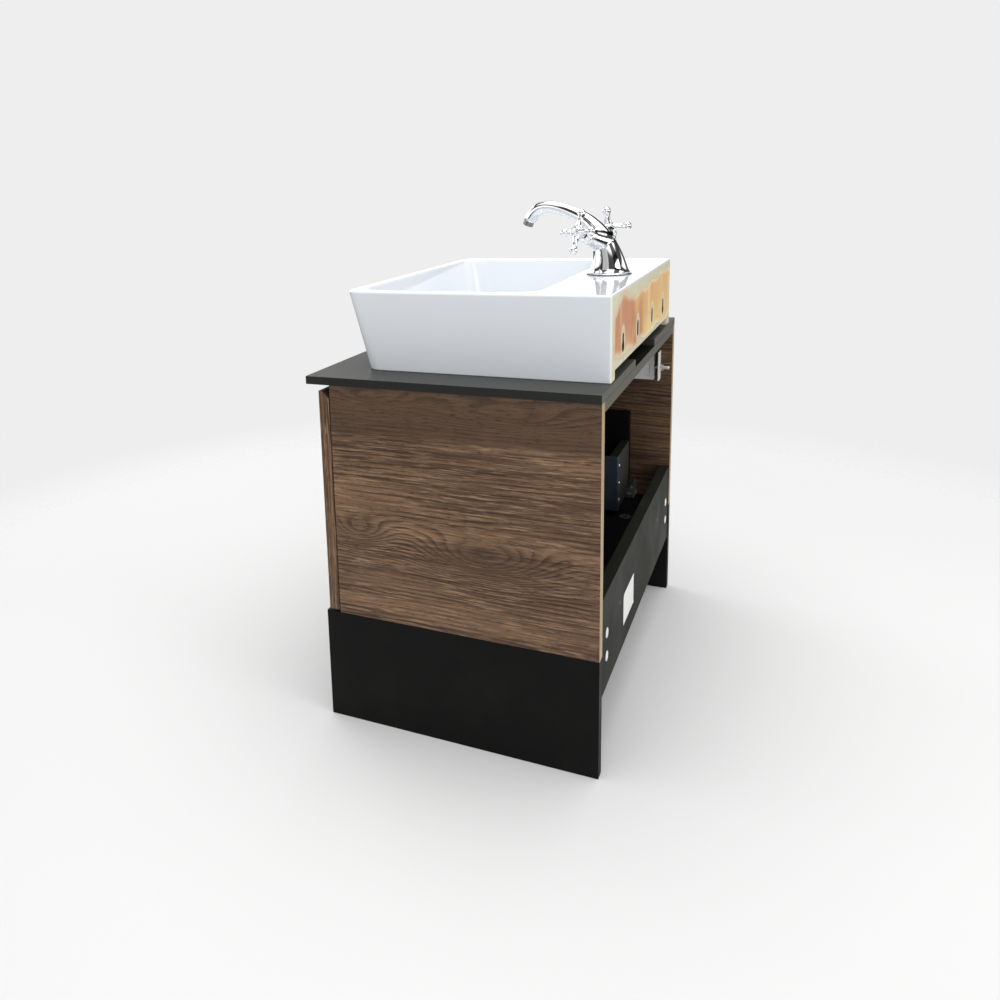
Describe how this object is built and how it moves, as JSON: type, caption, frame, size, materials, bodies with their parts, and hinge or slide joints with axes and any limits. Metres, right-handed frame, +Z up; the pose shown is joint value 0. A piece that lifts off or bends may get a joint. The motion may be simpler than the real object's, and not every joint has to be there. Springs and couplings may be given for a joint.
{
  "type": "vessel sink on vanity",
  "caption": "Rectangular ceramic vessel basin with a cross-handle mixer tap on a dark slab, over a walnut single-drawer vanity with black side legs.",
  "frame": {"origin": "on the floor, in the middle of the slab footprint", "axes": "+Z up, the drawer opens towards -Y, +X to the right when facing the back from the front"},
  "size_m": [0.702, 0.465, 0.8414],
  "materials": {
    "walnut": "walnut-grain laminate on board, matt",
    "black_board": "black melamine on board, matt",
    "slab": "anthracite compact laminate, fine texture",
    "glazed_ceramic": "white glaze, unglazed terracotta-stained back",
    "chrome": "polished",
    "brass": "turned",
    "zinc_steel": "zinc-plated sheet",
    "drawer_steel": "dark blue-grey lacquer",
    "white_plastic": "moulded",
    "grey_plastic": "moulded",
    "beech": "fluted beech",
    "rubber": "black",
    "paper": "blank label"
  },
  "bodies": {
    "cabinet": {"side_panel_right": "walnut", "side_panel_left": "walnut", "leg_right": "black_board", "leg_left": "black_board", "rear_bottom_rail": "black_board", "bottom_panel": "black_board", "rear_top_rail": "black_board", "front_top_rail": "black_board", "cam_locks": "zinc_steel", "cam_bolts": "zinc_steel", "leg_dowels": "beech", "slab_screws": "zinc_steel", "rail_caps": "white_plastic", "rail_pins": "grey_plastic", "blank_label": "paper", "bottom_grommet": "grey_plastic", "countertop": "slab", "hanger_housings": "white_plastic", "hanger_plates": "white_plastic", "hanger_nuts": "zinc_steel", "hanger_studs": "zinc_steel", "cabinet_rail_right": "zinc_steel", "cabinet_rail_left": "zinc_steel", "runner_screws": "zinc_steel", "basin": "glazed_ceramic", "waste_body": "chrome", "waste_gasket": "rubber", "waste_nut": "grey_plastic", "tap_body": "chrome", "tap_gasket": "rubber", "tap_stud": "brass", "tap_washer": "zinc_steel", "tap_nut": "brass", "aerator": "chrome", "bonnet_right": "chrome", "bonnet_left": "chrome"},
    "drawer": {"drawer_front": "walnut", "drawer_side_right": "black_board", "drawer_side_left": "black_board", "drawer_back_right": "black_board", "drawer_back_left": "black_board", "drawer_bottom": "black_board", "trap_recess": "drawer_steel", "recess_screws": "zinc_steel", "front_brackets": "zinc_steel", "bracket_screws": "zinc_steel", "runner_clips": "grey_plastic", "drawer_rail_right": "zinc_steel", "drawer_rail_left": "zinc_steel"},
    "middle_member_right": {"mid_rail_right": "zinc_steel"},
    "middle_member_left": {"mid_rail_left": "zinc_steel"},
    "cold_handle": {"handle_right": "chrome", "handle_cap_right": "chrome", "spindle_right": "brass"},
    "hot_handle": {"handle_left": "chrome", "handle_cap_left": "chrome", "spindle_left": "brass"},
    "push_plug": {"waste_plug": "chrome"}
  },
  "joints": [
    {"name": "drawer_slide", "type": "slide", "parent": "cabinet", "child": "drawer", "axis": [0, -1, 0], "range_m": [0, 0.3]},
    {"name": "middle_slide_right", "type": "slide", "parent": "cabinet", "child": "middle_member_right", "axis": [0, -1, 0], "range_m": [0, 0.15]},
    {"name": "middle_slide_left", "type": "slide", "parent": "cabinet", "child": "middle_member_left", "axis": [0, -1, 0], "range_m": [0, 0.15]},
    {"name": "cold_handle_turn", "type": "hinge", "parent": "cabinet", "child": "cold_handle", "pos_m": [0.0367, 0.1336, 0.78444], "axis": [0.7602, -0.5523, 0.342], "range_deg": [0, 180]},
    {"name": "hot_handle_turn", "type": "hinge", "parent": "cabinet", "child": "hot_handle", "pos_m": [-0.04973, 0.15676, 0.78444], "axis": [-0.9345, -0.0982, 0.342], "range_deg": [0, 180]},
    {"name": "plug_push", "type": "slide", "parent": "cabinet", "child": "push_plug", "axis": [0, 0, -1], "range_m": [0, 0.0088]}
  ],
  "couplings": [
    {"joint": "middle_slide_right", "follows": "drawer_slide", "ratio": 0.5},
    {"joint": "middle_slide_left", "follows": "drawer_slide", "ratio": 0.5}
  ]
}
